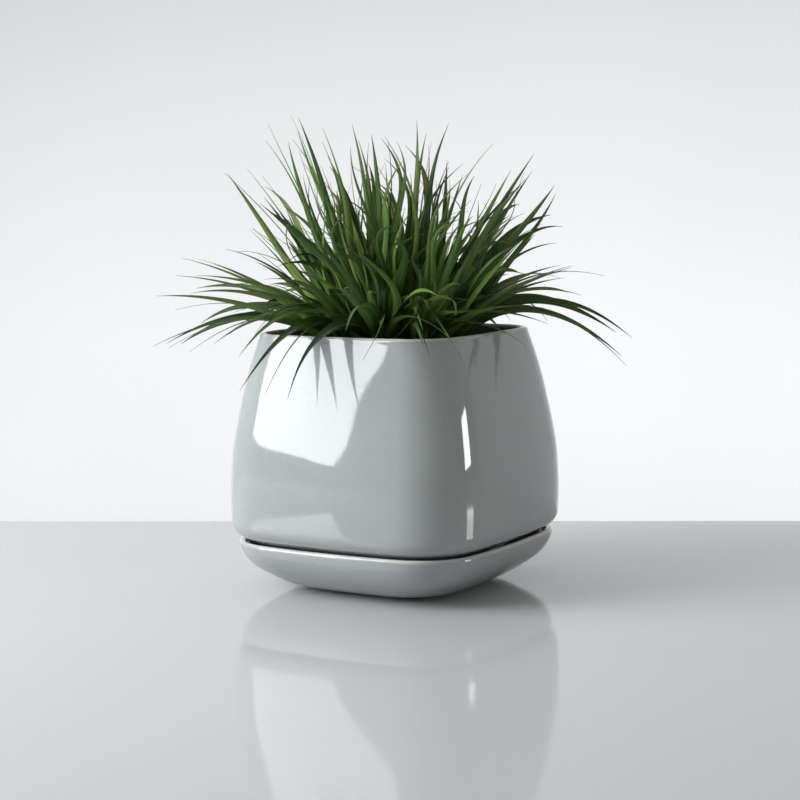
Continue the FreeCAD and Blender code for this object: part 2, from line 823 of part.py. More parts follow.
def clears_the_planter(root, leaf, lift):
    """True if the leaf passes over the liner and the rim, and hangs clear of the pot."""
    margin = size("blade_clearance") + leaf[4] / 2
    mouth = size("liner_top_side") / 2 - size("liner_wall")
    over_rim = size("pot_rim_level") + margin
    for step in range(1, CHECK_STEPS + 1):
        place = arch(root, leaf, lift, step / CHECK_STEPS)[0]
        if place.z > over_rim:
            continue
        in_liner = box_distance(place, mouth, size("liner_top_corner")) < -margin
        half = pot_half(place.z)
        off_pot = box_distance(place, half, size("pot_rim_corner")) > margin
        if not (in_liner or off_pot):
            return False
    return True


def width_share(share):
    """A leaf's width along its length: narrow at the sheath, widest low down, a fine tip."""
    swell = math.sin(math.pi / 2 * min(share / WIDEST_AT, 1))
    taper = math.sqrt(max(1 - share**TIP_POWER, TIP_LEAST))
    return (SHEATH_WIDTH + (1 - SHEATH_WIDTH) * swell) * taper


def clear_lift(root, leaf):
    """The lowest level for the leaf to spring towards that keeps it off the planter."""
    for tries in range(LIFT_TRIES):
        lift = leaf[3] + tries * LIFT_STEP
        if clears_the_planter(root, leaf, lift):
            return lift
    raise RuntimeError("no arch keeps the leaf %s clear" % (leaf,))


def make_leaf(root, leaf, twist):
    """One blade: a shallow keel, lofted along its arch through kite-shaped sections."""
    heading, width = leaf[0], leaf[4]
    lift = clear_lift(root, leaf)
    turn = math.radians(heading)
    thick = size("blade_thick")
    wires = []
    for number in range(LEAF_SECTIONS):
        share = number / (LEAF_SECTIONS - 1)
        place, along = arch(root, leaf, lift, share)
        level = FreeCAD.Vector(-math.sin(turn), math.cos(turn), 0)
        over = along.cross(level)
        spin = twist * share
        across = level * math.cos(spin) + over * math.sin(spin)
        over = over * math.cos(spin) - level * math.sin(spin)
        wide = width * width_share(share)
        corners = [
            place + across * (wide / 2) + over * (EDGE_RISE * wide),
            place + over * ((1 - KEEL_SHARE) * thick),
            place - across * (wide / 2) + over * (EDGE_RISE * wide),
            place - over * (KEEL_SHARE * thick),
        ]
        wires.append(Part.makePolygon(corners + corners[:1]))
    return Part.makeLoft(wires, True, True)


def make_tuft(name, heading, centre, width, leaves):
    """A crown with its leaves, each leaf a solid that springs from inside the crown."""
    radius = width / 2
    taper = radius * size("crown_taper")
    solids = [Part.makeCone(radius, taper, size("crown_tall"), centre)]
    draw = random.Random(name)
    for leaf in leaves:
        offset = draw.uniform(0, ROOT_SPREAD * radius)
        around = draw.uniform(0, 2 * math.pi)
        shift = FreeCAD.Vector(offset * math.cos(around), offset * math.sin(around), ROOT_DEPTH)
        solids.append(make_leaf(centre + shift, leaf, draw.uniform(-MOST_TWIST, MOST_TWIST)))
    tuft = doc.addObject("Part::Feature", name)
    tuft.Label = name
    tuft.Shape = Part.makeCompound(solids)
    tuft.Placement = FreeCAD.Placement()
    return tuft


# ---------------------------------------------------------------- build, check and write

def make_planter():
    bodies = [make_base_pad(), make_saucer(), make_pot()]
    for number, (x, y) in enumerate(FOUR_CORNERS, start=1):
        bodies.append(make_bumper(number, x, y))
    bodies += [make_grommet(), make_liner(), make_platform()]
    bodies += [make_wick(), make_collar(), make_soil()]
    for name, heading, inner, centre, width, leaves in plan_tufts():
        bodies.append(make_tuft(name, heading, centre, width, leaves))
    return bodies


def write_parts(pieces):
    doc.recompute()
    for thing in doc.Objects:
        if "Invalid" in thing.State or "Error" in thing.State:
            raise RuntimeError("%s is %s" % (thing.Name, thing.State))
    for piece in pieces:
        shape = piece.Shape
        if shape.isNull() or not shape.isValid() or not shape.Solids:
            raise RuntimeError("%s has no valid solid" % piece.Label)
        for solid in shape.Solids:
            if solid.Volume <= 0:
                raise RuntimeError("%s holds a solid that is inside out" % piece.Label)
        shape.exportStep("parts/%s.step" % piece.Label)
        volume = sum(solid.Volume for solid in shape.Solids)
        print("%-14s %3d solids %9.0f mm3" % (piece.Label, len(shape.Solids), volume))


write_parts(make_planter())
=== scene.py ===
import math
import random

import bpy
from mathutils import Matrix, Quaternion, Vector, noise


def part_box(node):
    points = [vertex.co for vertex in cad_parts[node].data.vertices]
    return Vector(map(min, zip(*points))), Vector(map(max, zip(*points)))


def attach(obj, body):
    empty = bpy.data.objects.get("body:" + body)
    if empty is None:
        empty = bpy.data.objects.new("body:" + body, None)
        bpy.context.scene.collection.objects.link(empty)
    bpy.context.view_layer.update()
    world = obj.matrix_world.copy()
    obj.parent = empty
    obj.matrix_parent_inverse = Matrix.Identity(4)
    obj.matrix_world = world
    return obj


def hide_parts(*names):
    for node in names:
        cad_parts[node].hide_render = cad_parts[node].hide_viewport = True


# The self watering planter in its studio: glazed pot and dish, grow pot, wick, soil and
# grass. Profiles are in millimetres, as in the CAD, and are turned into metres when a mesh
# is made. The origin is the centre of the planter's foot, with +Z up.

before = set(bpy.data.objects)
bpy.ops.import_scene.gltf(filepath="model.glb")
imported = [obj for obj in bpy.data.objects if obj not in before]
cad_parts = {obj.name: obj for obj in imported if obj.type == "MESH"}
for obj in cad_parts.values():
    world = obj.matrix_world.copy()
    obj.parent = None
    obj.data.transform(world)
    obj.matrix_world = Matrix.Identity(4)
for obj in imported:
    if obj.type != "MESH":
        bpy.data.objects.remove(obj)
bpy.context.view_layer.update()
scene = bpy.context.scene
MM = 0.001


# ---------------------------------------------------------------- shapes

# points along each side and round each corner of a ring, and round a bored hole
PER_SIDE = 30
PER_CORNER = 16
HOLE_SIDES = 40
# rows round a bend in a profile, and over a rim
BEND_STEPS = 9
RIM_STEPS = 10
# how far apart in mm the highs and lows of a hand-made wall's unevenness are
DRIFT_LENGTH = 55
# without a seed the noise starts from the clock, and the walls differ from run to run
DRIFT_SEED = 5
noise.seed_set(DRIFT_SEED)


def rounded_square(half, corner, bow):
    """Plan points of a square with bowed sides and rounded corners, anticlockwise."""
    shift = bow - half
    reach = bow - corner
    centre = (math.sqrt(2 * reach**2 - shift**2) - shift) / 2
    turn = math.atan2(centre, centre + shift)
    points = []
    for quarter in range(4):
        spin = quarter * math.pi / 2
        for step in range(PER_SIDE):
            angle = spin - turn + 2 * turn * step / PER_SIDE
            x = -shift * math.cos(spin) + bow * math.cos(angle)
            y = -shift * math.sin(spin) + bow * math.sin(angle)
            points.append((x, y))
        far = centre * math.sqrt(2)
        x_centre = far * math.cos(spin + math.pi / 4)
        y_centre = far * math.sin(spin + math.pi / 4)
        for step in range(PER_CORNER):
            angle = spin + turn + (math.pi / 2 - 2 * turn) * step / PER_CORNER
            x = x_centre + corner * math.cos(angle)
            y = y_centre + corner * math.sin(angle)
            points.append((x, y))
    return points


def eased(points, passes):
    """Softens where the sides run into the corners, as glaze and hand finishing do."""
    for _ in range(passes):
        count = len(points)
        softer = []
        for i in range(count):
            x = (points[i - 1][0] + 2 * points[i][0] + points[(i + 1) % count][0]) / 4
            y = (points[i - 1][1] + 2 * points[i][1] + points[(i + 1) % count][1]) / 4
            softer.append((x, y))
        points = softer
    return points


def through(stations, steps):
    """Rows along a smooth curve through rows of numbers (Catmull-Rom)."""
    rows = []
    last = len(stations) - 1
    for i in range(last):
        before = stations[max(i - 1, 0)]
        here, there = stations[i], stations[i + 1]
        after = stations[min(i + 2, last)]
        for step in range(steps):
            t = step / steps
            row = []
            for a, b, c, d in zip(before, here, there, after):
                flow = (2 * b) + (c - a) * t
                flow += (2 * a - 5 * b + 4 * c - d) * t**2
                flow += (3 * b - a - 3 * c + d) * t**3
                row.append(flow / 2)
            rows.append(tuple(row))
    rows.append(tuple(stations[-1]))
    return rows


def bent(rows, corner_at, reach):
    """Rounds the kink of a profile at one row, over a reach on each side of it."""
    kink = rows[corner_at]

    def trimmed(order):
        """The rows left beyond the reach, and where the profile meets it."""
        previous = kink
        for place, index in enumerate(order):
            row = rows[index]
            gap = math.hypot(row[0] - kink[0], row[2] - kink[2])
            if gap >= reach:
                before = math.hypot(previous[0] - kink[0], previous[2] - kink[2])
                share = (reach - before) / (gap - before)
                cut = tuple(p + (r - p) * share for p, r in zip(previous, row))
                return cut, order[place:]
            previous = row
        raise ValueError("the reach is longer than the profile")

    start, low = trimmed(list(range(corner_at - 1, -1, -1)))
    end, high = trimmed(list(range(corner_at + 1, len(rows))))
    arc = []
    for step in range(BEND_STEPS + 1):
        t = step / BEND_STEPS
        arc.append(tuple(a * (1 - t) ** 2 + 2 * k * t * (1 - t) + b * t**2
                         for a, k, b in zip(start, kink, end)))
    return [rows[i] for i in reversed(low)] + arc + [rows[i] for i in high]


def ring_surface(name, rows, ease=6, wobble=0.0):
    """A closed skin through rounded squares. Rows are (half, corner, level, bow)."""
    vertices = []
    faces = []
    for half, corner, level, bow in rows:
        for x, y in eased(rounded_square(half, corner, bow), ease):
            place = Vector((x, y, level))
            if wobble:
                drift = noise.noise_vector(place / DRIFT_LENGTH) * wobble
                place += Vector((drift.x, drift.y, 0))
            vertices.append(place * MM)
    count = len(vertices) // len(rows)
    for row in range(len(rows) - 1):
        for i in range(count):
            following = (i + 1) % count
            low, high = row * count, (row + 1) * count
            faces.append((low + i, low + following, high + following, high + i))
    faces.append(tuple(reversed(range(count))))
    last = (len(rows) - 1) * count
    faces.append(tuple(range(last, last + count)))
    return new_mesh(name, vertices, faces)


def new_mesh(name, vertices, faces):
    mesh = bpy.data.meshes.new(name)
    mesh.from_pydata([tuple(v) for v in vertices], [], faces)
    mesh.validate()
    mesh.update()
    thing = bpy.data.objects.new(name, mesh)
    scene.collection.objects.link(thing)
    return thing


def shade(thing, sharp_over=50):
    """Smooth shading, but for edges sharper than an angle in degrees."""
    mesh = thing.data
    for face in mesh.polygons:
        face.use_smooth = True
    mesh.set_sharp_from_angle(angle=math.radians(sharp_over))
    return thing


def bore(thing, holes, low, high):
    """Cuts round upright holes, each (x, y, diameter), from one level to another."""
    vertices = []
    faces = []
    for x, y, diameter in holes:
        start = len(vertices)
        for level in (low, high):
            for side in range(HOLE_SIDES):
                angle = 2 * math.pi * side / HOLE_SIDES
                across = x + diameter / 2 * math.cos(angle)
                along = y + diameter / 2 * math.sin(angle)
                vertices.append(Vector((across, along, level)) * MM)
        for side in range(HOLE_SIDES):
            following = (side + 1) % HOLE_SIDES
            upper = start + HOLE_SIDES
            faces.append((start + side, start + following, upper + following, upper + side))
        faces.append(tuple(start + side for side in reversed(range(HOLE_SIDES))))
        faces.append(tuple(start + HOLE_SIDES + side for side in range(HOLE_SIDES)))
    cutter = new_mesh("cutter", vertices, faces)
    cut = thing.modifiers.new("holes", "BOOLEAN")
    cut.operation = "DIFFERENCE"
    cut.solver = "EXACT"
    cut.object = cutter
    graph = bpy.context.evaluated_depsgraph_get()
    mesh = bpy.data.meshes.new_from_object(thing.evaluated_get(graph))
    old = thing.data
    thing.modifiers.clear()
    thing.data = mesh
    bpy.data.meshes.remove(old)
    bpy.data.objects.remove(cutter)
    return thing


# ---------------------------------------------------------------- materials

class Material:
    """A node material with short calls for the nodes that the finishes share."""

    def __init__(self, name):
        self.material = bpy.data.materials.new(name)
        self.material.use_nodes = True
        self.tree = self.material.node_tree
        self.shader = self.tree.nodes["Principled BSDF"]

    def node(self, kind, **settings):
        made = self.tree.nodes.new("ShaderNode" + kind)
        for word, value in settings.items():
            setattr(made, word, value)
        return made

    def link(self, source, target):
        self.tree.links.new(source, target)

    def place(self):
        """The place on the object, in metres."""
        return self.node("TexCoord").outputs["Object"]

    def noise(self, scale, detail, rough, where=None, distort=0.0):
        made = self.node("TexNoise")
        made.inputs["Scale"].default_value = scale
        made.inputs["Detail"].default_value = detail
        made.inputs["Roughness"].default_value = rough
        made.inputs["Distortion"].default_value = distort
        self.link(where if where is not None else self.place(), made.inputs["Vector"])
        return made.outputs["Fac"]

    def cells(self, scale):
        made = self.node("TexVoronoi")
        made.inputs["Scale"].default_value = scale
        self.link(self.place(), made.inputs["Vector"])
        return made.outputs["Distance"]

    def ramp(self, source, low, high, start=0.0, end=1.0):
        """The source from low..high brought to start..end, held at both ends."""
        made = self.node("MapRange")
        made.inputs["From Min"].default_value = low
        made.inputs["From Max"].default_value = high
        made.inputs["To Min"].default_value = start
        made.inputs["To Max"].default_value = end
        self.link(source, made.inputs["Value"])
        return made.outputs["Result"]

    def maths(self, operation, first, second=0):
        made = self.node("Math", operation=operation)
        for socket, value in zip(made.inputs, (first, second)):
            if isinstance(value, (int, float)):
                socket.default_value = value
            else:
                self.link(value, socket)
        return made.outputs["Value"]

    def blend(self, share, first, second):
        """A colour between two colours, each a socket or red, green, blue."""
        made = self.node("Mix", data_type="RGBA")
        self.link(share, made.inputs["Factor"])
        for number, value in ((6, first), (7, second)):
            if isinstance(value, tuple):
                made.inputs[number].default_value = (*value, 1)
            else:
                self.link(value, made.inputs[number])
        return made.outputs[2]

    def axis(self, vector, letter):
        made = self.node("SeparateXYZ")
        self.link(vector, made.inputs["Vector"])
        return made.outputs[letter]

    def colour(self, source):
        self.link(source, self.shader.inputs["Base Color"])

    def roughness(self, source):
        self.link(source, self.shader.inputs["Roughness"])

    def bump(self, height, distance, strength):
        made = self.node("Bump")
        made.inputs["Strength"].default_value = strength
        made.inputs["Distance"].default_value = distance
        self.link(height, made.inputs["Height"])
        self.link(made.outputs["Normal"], self.shader.inputs["Normal"])

    def set(self, **values):
        """Sets the shader's own sockets, and gives back the finished material."""
        for word, value in values.items():
            self.shader.inputs[word.replace("_", " ")].default_value = value
        return self.material


def glaze(name, rim_level):
    """Celadon glaze: clouded, a little uneven, thin and pale where it runs off the rim."""
    m = Material(name)
    cloud = m.ramp(m.noise(9, 4, 0.55), 0.3, 0.7)
    body = m.blend(cloud, (0.268, 0.291, 0.288), (0.298, 0.320, 0.316))
    fine = m.ramp(m.noise(420, 2, 0.6), 0.35, 0.75, 0.0, 0.35)
    body = m.blend(fine, body, (0.325, 0.346, 0.342))
    speck = m.ramp(m.cells(210), 0.035, 0.075, 0.22, 0.0)
    rare = m.ramp(m.noise(70, 1, 0.5), 0.60, 0.66)
    body = m.blend(m.maths("MULTIPLY", speck, rare), body, (0.14, 0.14, 0.13))
    level = m.axis(m.place(), "Z")
    wander = m.ramp(m.noise(60, 2, 0.5), 0.3, 0.7, -0.0006, 0.0006)
    thin = m.ramp(m.maths("ADD", level, wander), rim_level - 0.0022, rim_level - 0.0002)
    m.colour(m.blend(m.maths("MULTIPLY", thin, 0.75), body, (0.60, 0.57, 0.545)))
    m.roughness(m.ramp(m.noise(34, 3, 0.6), 0.25, 0.75, 0.045, 0.085))
    slow = m.noise(16, 1, 0.4)
    orange_peel = m.maths("MULTIPLY", m.noise(260, 2, 0.5), 0.035)
    m.bump(m.maths("ADD", slow, orange_peel), 0.0009, 0.55)
    return m.set(IOR=1.54, Coat_Weight=0.35, Coat_Roughness=0.03)


def felt():
    m = Material("felt")
    fibre = m.noise(1500, 6, 0.75, distort=2.0)
    m.colour(m.blend(m.ramp(fibre, 0.3, 0.7), (0.018, 0.018, 0.019), (0.060, 0.058, 0.055)))
    m.roughness(m.ramp(fibre, 0.2, 0.8, 0.85, 1.0))
    m.bump(fibre, 0.0005, 0.8)
    return m.set(Sheen_Weight=0.4)


def silicone():
    m = Material("silicone")
    haze = m.noise(90, 4, 0.6)
    m.colour(m.blend(m.ramp(haze, 0.3, 0.7), (0.56, 0.57, 0.56), (0.68, 0.69, 0.68)))
    m.roughness(m.ramp(m.noise(300, 3, 0.6), 0.3, 0.7, 0.34, 0.5))
    m.bump(m.noise(900, 2, 0.5), 0.0002, 0.4)
    return m.set(Subsurface_Weight=0.25, Subsurface_Scale=0.004)


def grow_pot_plastic():
    m = Material("grow_pot_plastic")
    grain = m.noise(1300, 3, 0.6)
    dust = m.ramp(m.noise(26, 5, 0.65), 0.5, 0.75, 0.0, 0.45)
    dark = m.blend(m.ramp(grain, 0.3, 0.7), (0.016, 0.017, 0.018), (0.030, 0.031, 0.032))
    m.colour(m.blend(dust, dark, (0.085, 0.070, 0.055)))
    m.roughness(m.ramp(m.noise(60, 4, 0.6), 0.3, 0.7, 0.42, 0.62))
    m.bump(grain, 0.00025, 0.5)
    return m.set(IOR=1.49)


def wick_fibre():
    m = Material("wick_fibre")
    strands = m.node("Mapping")
    strands.inputs["Scale"].default_value = (1, 1, 0.06)
    m.link(m.place(), strands.inputs["Vector"])
    fibre = m.noise(1400, 5, 0.7, where=strands.outputs["Vector"], distort=1.2)
    damp = m.ramp(m.axis(m.place(), "Z"), 0.03, 0.05)
    dry = m.blend(m.ramp(fibre, 0.3, 0.7), (0.50, 0.47, 0.40), (0.74, 0.72, 0.66))
    wet = m.blend(m.ramp(fibre, 0.3, 0.7), (0.27, 0.24, 0.19), (0.42, 0.39, 0.33))
    m.colour(m.blend(damp, wet, dry))
    m.roughness(m.ramp(fibre, 0.2, 0.8, 0.7, 0.95))
    m.bump(fibre, 0.0006, 0.9)
    return m.material


def potting_soil():
    m = Material("potting_soil")
    crumb = m.cells(420)
    tone = m.ramp(m.noise(160, 6, 0.7), 0.3, 0.7)
    peat = m.blend(tone, (0.012, 0.008, 0.005), (0.055, 0.034, 0.020))
    bark = m.ramp(m.cells(130), 0.0, 0.22, 0.55, 0.0)
    peat = m.blend(bark, peat, (0.105, 0.060, 0.032))
    m.colour(peat)
    m.roughness(m.ramp(tone, 0.0, 1.0, 0.78, 0.97))
    m.bump(m.maths("ADD", crumb, m.noise(700, 4, 0.7)), 0.0012, 0.9)
    return m.material


def leaf():
    """Grass leaves: pale midrib and fine veins, painted shade darkening each leaf towards its
    base, each leaf with its own tone.

    The leaf's own numbers come with its mesh: tone.r from dark to light green, tone.g from
    green to yellow, tone.b how dry its tip is. The uv runs across and along it.
    """
    m = Material("leaf")
    own = m.node("Attribute", attribute_name="tone")
    parts = m.node("SeparateColor")
    m.link(own.outputs["Color"], parts.inputs["Color"])
    uv = m.node("UVMap", uv_map="leaf").outputs["UV"]
    across, along = m.axis(uv, "X"), m.axis(uv, "Y")
    off_rib = m.maths("ABSOLUTE", m.maths("SUBTRACT", across, 0.5))
    body = m.blend(parts.outputs["Red"], (0.014, 0.040, 0.012), (0.116, 0.208, 0.040))
    body = m.blend(parts.outputs["Green"], body, (0.235, 0.290, 0.062))
    patch = m.ramp(m.noise(48, 4, 0.6), 0.35, 0.7, 0.0, 0.40)
    body = m.blend(patch, body, (0.026, 0.090, 0.016))
    vein = m.maths("SINE", m.maths("MULTIPLY", across, 75))
    body = m.blend(m.ramp(vein, -0.2, 1.0, 0.0, 0.24), body, (0.140, 0.290, 0.070))
    body = m.blend(m.ramp(off_rib, 0.015, 0.075, 0.55, 0.0), body, (0.190, 0.340, 0.110))
    # painted shade: each leaf is blended to near black over its lowest part, where the leaves
    # crowd at the crown
    base_shade = m.ramp(along, 0.02, 0.30, 0.72, 0.0)
    body = m.blend(base_shade, body, (0.012, 0.030, 0.008))
    dry = m.maths("MULTIPLY", m.ramp(along, 0.84, 1.0), parts.outputs["Blue"])
    m.colour(m.blend(dry, body, (0.190, 0.120, 0.045)))
    m.roughness(m.ramp(m.noise(130, 3, 0.6), 0.3, 0.7, 0.30, 0.46))
    m.bump(m.maths("ADD", vein, m.maths("MULTIPLY", m.noise(900, 2, 0.5), 0.5)), 0.00012, 0.7)
    return m.set(IOR=1.42)


def table_top():
    m = Material("table_top")
    tone = m.noise(3, 3, 0.5)
    m.colour(m.blend(m.ramp(tone, 0.3, 0.7), (0.500, 0.504, 0.516), (0.516, 0.520, 0.532)))
    m.roughness(m.ramp(m.noise(24, 4, 0.6), 0.3, 0.7, 0.060, 0.085))
    return m.set(IOR=1.5)


def backdrop_cloth():
    m = Material("backdrop_cloth")
    tone = m.noise(1.2, 2, 0.5)
    m.colour(m.blend(m.ramp(tone, 0.3, 0.7), (0.80, 0.81, 0.83), (0.83, 0.84, 0.855)))
    return m.set(Roughness=1.0)


FINISHES = {
    "felt": felt(),
    "silicone": silicone(),
    "grow_pot_plastic": grow_pot_plastic(),
    "wick_fibre": wick_fibre(),
}


def dress(thing, material):
    thing.data.materials.clear()
    thing.data.materials.append(material)
    return thing


# ---------------------------------------------------------------- camera

# The camera's heading round the planter, its distance from the planter's axis and its
# height, how far it looks down and to the right of the axis, and a slight roll. Degrees and
# metres, and the lens in millimetres.
CAMERA_AZIMUTH = 31.0
CAMERA_DISTANCE = 1.402
CAMERA_HEIGHT = 0.293
CAMERA_PITCH = 6.29
CAMERA_YAW = 0.12
CAMERA_ROLL = 0.7
LENS = 84.15

azimuth = math.radians(CAMERA_AZIMUTH)
toward = Vector((math.sin(azimuth), -math.cos(azimuth), 0))
rightward = Vector((math.cos(azimuth), math.sin(azimuth), 0))
camera_data = bpy.data.cameras.new("camera")
camera_data.lens = LENS
camera_data.clip_end = 50
camera = bpy.data.objects.new("camera", camera_data)
scene.collection.objects.link(camera)
camera.location = toward * CAMERA_DISTANCE + Vector((0, 0, CAMERA_HEIGHT))
aim = -toward + rightward * math.tan(math.radians(CAMERA_YAW))
aim.z = -math.tan(math.radians(CAMERA_PITCH))
camera.rotation_mode = "QUATERNION"
roll = Quaternion((0, 0, 1), -math.radians(CAMERA_ROLL))
camera.rotation_quaternion = aim.to_track_quat("-Z", "Y") @ roll
scene.camera = camera
scene.view_settings.view_transform = "Standard"


# ---------------------------------------------------------------- glazed pot

BOW = 600.0
POT_FOOT = (50.0, 27.0, 14.0)
# half width, corner radius and level of the pot's wall
POT_WALL = [
    (105.5, 46.5, 44.0),
    (106.5, 47.0, 72.0),
    (104.5, 45.0, 103.0),
    (98.75, 42.0, 137.0),
    (92.5, 38.0, 165.0),
    (84.5, 34.0, 192.0),
]
WALL = 6.0
FLOOR = 7.0
# how far the bends from underside to wall and from floor to wall reach
OUTER_BEND = 8.0
INNER_BEND = 6.0
# the foot's edge: how far in from the foot, and how far up
FOOT_EDGE = ((1.5, 0), (0.4, 0.3))
WICK_HOLE = 28
DRAIN_HOLE = 9
DRAIN_PLACES = ((30, 0), (0, 30), (-30, 0), (0, -30))
# how far a cutter stands out of what it cuts, and the least gap between rows
OVERCUT = 3
ROW_GAP = 0.2
# rows between two levels of the pot, along its floor, and between two levels of the dish
POT_STEPS = 12
FLOOR_STEPS = 10
DISH_STEPS = 9
UNEVEN_POT = 0.35
UNEVEN_DISH = 0.3


def straight(first, second, steps):
    rows = []
    for step in range(steps):
        t = step / steps
        rows.append(tuple(a + (b - a) * t for a, b in zip(first, second)))
    return rows


def over_rim(outer, inner):
    """A half round from the outer wall's last row to the inner wall's."""
    middle = tuple((a + b) / 2 for a, b in zip(outer, inner))
    rise = (outer[0] - inner[0]) / 2
    rows = []
    for step in range(1, RIM_STEPS):
        angle = math.pi * step / RIM_STEPS
        share = (1 + math.cos(angle)) / 2
        half, corner = (b + (a - b) * share for a, b in zip(outer[:2], inner[:2]))
        rows.append((half, corner, middle[2] + rise * math.sin(angle)))
    return rows


def with_bow(rows, bow):
    return [(half, corner, level, bow) for half, corner, level in rows]


def shortened(rows, top):
    """The rows up to a level, and one row at that level."""
    kept = [row for row in rows if row[2] < top - ROW_GAP]
    below, above = kept[-1], rows[len(kept)]
    share = (top - below[2]) / (above[2] - below[2])
    kept.append(tuple(a + (b - a) * share for a, b in zip(below, above)))
    return kept


def make_pot():
    wall = through(POT_WALL, POT_STEPS)
    outer = straight(POT_FOOT, wall[0], POT_STEPS)
    kink = len(outer)
    outer = bent(outer + wall, kink, OUTER_BEND)
    half, corner, level = POT_FOOT
    outer[:1] = [(half - inward, corner - inward, level + up) for inward, up in FOOT_EDGE]
    slope = (POT_WALL[0][2] - POT_FOOT[2]) / (POT_WALL[0][0] - POT_FOOT[0])
    hollow = [(half - WALL, corner - WALL, level) for half, corner, level in wall]
    lift = FLOOR - WALL * slope
    hollow[0] = (hollow[0][0], hollow[0][1], hollow[0][2] + lift)
    hollow = [row for row in hollow if row is hollow[0] or row[2] > hollow[0][2] + 1]
    floor = (POT_FOOT[0], POT_FOOT[1] - WALL, POT_FOOT[2] + FLOOR)
    inner = straight(floor, hollow[0], FLOOR_STEPS)
    kink = len(inner)
    inner = bent(inner + hollow, kink, INNER_BEND)
    top = POT_WALL[-1][2] - WALL / 2
    outer, inner = shortened(outer, top), shortened(inner, top)
    rim = over_rim(outer[-1], inner[-1])
    rows = with_bow(outer, BOW) + with_bow(rim, BOW - WALL / 2)
    rows += with_bow(reversed(inner), BOW - WALL)
    pot = ring_surface("glazed_pot", rows, wobble=UNEVEN_POT)
    holes = [(0, 0, WICK_HOLE)] + [(x, y, DRAIN_HOLE) for x, y in DRAIN_PLACES]
    bore(pot, holes, POT_FOOT[2] - OVERCUT, POT_FOOT[2] + FLOOR + OVERCUT)
    return shade(pot)


def pot_half(level):
    """The pot's half width at a level."""
    for (low_half, _, low), (high_half, _, high) in zip(POT_WALL, POT_WALL[1:]):
        if low <= level <= high:
            return low_half + (high_half - low_half) * (level - low) / (high - low)
    return POT_WALL[-1][0]


pot = make_pot()
dress(pot, glaze("pot_glaze", POT_WALL[-1][2] * MM))
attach(pot, "pot")
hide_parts("pot")


# ---------------------------------------------------------------- reservoir dish

# half width, corner radius and level, from foot to rim
DISH_OUTSIDE = [
    (60.0, 32.0, 1.5),
    (72.0, 36.0, 5.0),
    (84.0, 40.0, 12.0),
    (94.0, 43.0, 20.0),
    (100.0, 45.0, 29.0),
    (102.5, 46.0, 38.0),
]
DISH_INSIDE = [
    (67.0, 31.0, 8.5),
    (79.0, 35.0, 13.75),
    (89.0, 38.0, 21.75),
    (95.0, 40.0, 30.75),
    (97.5, 41.0, 38.0),
]
DISH_WALL = 5.0
DISH_EDGE = ((1.2, 0), (0, 0.4))


def make_dish():
    outer = through(DISH_OUTSIDE, DISH_STEPS)
    half, corner, level = outer[0]
    outer[:1] = [(half - inward, corner - inward, level + up) for inward, up in DISH_EDGE]
    inner = through(DISH_INSIDE, DISH_STEPS)
    top = DISH_OUTSIDE[-1][2] - DISH_WALL / 2
    outer, inner = shortened(outer, top), shortened(inner, top)
    rim = over_rim(outer[-1], inner[-1])
    rows = with_bow(outer, BOW) + with_bow(rim, BOW - DISH_WALL / 2)
    rows += with_bow(reversed(inner), BOW - DISH_WALL)
    return shade(ring_surface("glazed_dish", rows, wobble=UNEVEN_DISH))


dish = make_dish()
dress(dish, glaze("dish_glaze", DISH_OUTSIDE[-1][2] * MM))
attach(dish, "dish")
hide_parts("saucer")


# ---------------------------------------------------------------- carried-over pieces

dress(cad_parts["base_pad"], FINISHES["felt"])
dress(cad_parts["drain_grommet"], FINISHES["silicone"])
for number in range(1, 5):
    dress(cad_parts["pot_bumper_%d" % number], FINISHES["silicone"])
for node in ("liner", "soil_platform", "wick_collar"):
    dress(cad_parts[node], FINISHES["grow_pot_plastic"])
dress(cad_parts["wick_rod"], FINISHES["wick_fibre"])


# ---------------------------------------------------------------- soil

# the soil's half width and corner radius at its foot, and its corner radius at the top
SOIL_FOOT = 55.6
SOIL_FOOT_CORNER = 22
SOIL_TOP_CORNER = 27
# how far the crumbled top starts below the CAD's, and how far it rises in the middle
SOIL_DROP = 5
SOIL_RISE = 4.2
SOIL_LIP = 0.4
SOIL_STEPS = 8
SOIL_RINGS = 44
LEAST_CORNER = 0.35
# size and height of the crumbs, the height of the finest, and how far they sink the top
CRUMBS = ((5.5, 1.3), (2.1, 0.8), (16, 0.9))
FINE_CRUMB = 0.15
CRUMB_SINK = 0.6
# the crumbs flatten out over this much of the edge
CRUMB_EDGE = 4
SOIL_SEED = 7


def make_soil():
    """The soil block with a crumbled top that rises in the middle."""
    low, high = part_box("soil")
    top, bottom = high[2] / MM - SOIL_DROP, low[2] / MM
    wide = high[0] / MM
    rows = []
    for step in range(SOIL_STEPS + 1):
        t = step / SOIL_STEPS
        level = bottom + (top - bottom) * t
        corner = SOIL_FOOT_CORNER + (SOIL_TOP_CORNER - SOIL_FOOT_CORNER) * t
        rows.append((SOIL_FOOT + (wide - SOIL_FOOT) * t, corner, level, BOW))
    for step in range(1, SOIL_RINGS):
        t = step / SOIL_RINGS
        half = wide * (1 - t)
        corner = max(SOIL_TOP_CORNER * (1 - t), LEAST_CORNER)
        rise = SOIL_RISE * (1 - (1 - t) ** 2) + SOIL_LIP
        rows.append((half, min(corner, half * 0.9), top + rise, BOW))
    soil = ring_surface("soil_bed", rows, ease=2)
    draw = random.Random(SOIL_SEED)
    for vertex in soil.data.vertices:
        place = vertex.co / MM
        if place.z < top - 1:
            continue
        crumbs = sum(noise.noise(place / size) * height for size, height in CRUMBS)
        crumbs += draw.uniform(-FINE_CRUMB, FINE_CRUMB)
        edge = min((wide - max(abs(place.x), abs(place.y))) / CRUMB_EDGE, 1)
        vertex.co.z += (crumbs * max(edge, 0) - CRUMB_SINK) * MM
    return shade(soil, 80)


soil = make_soil()
dress(soil, potting_soil())
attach(soil, "grow_insert")
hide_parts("soil")


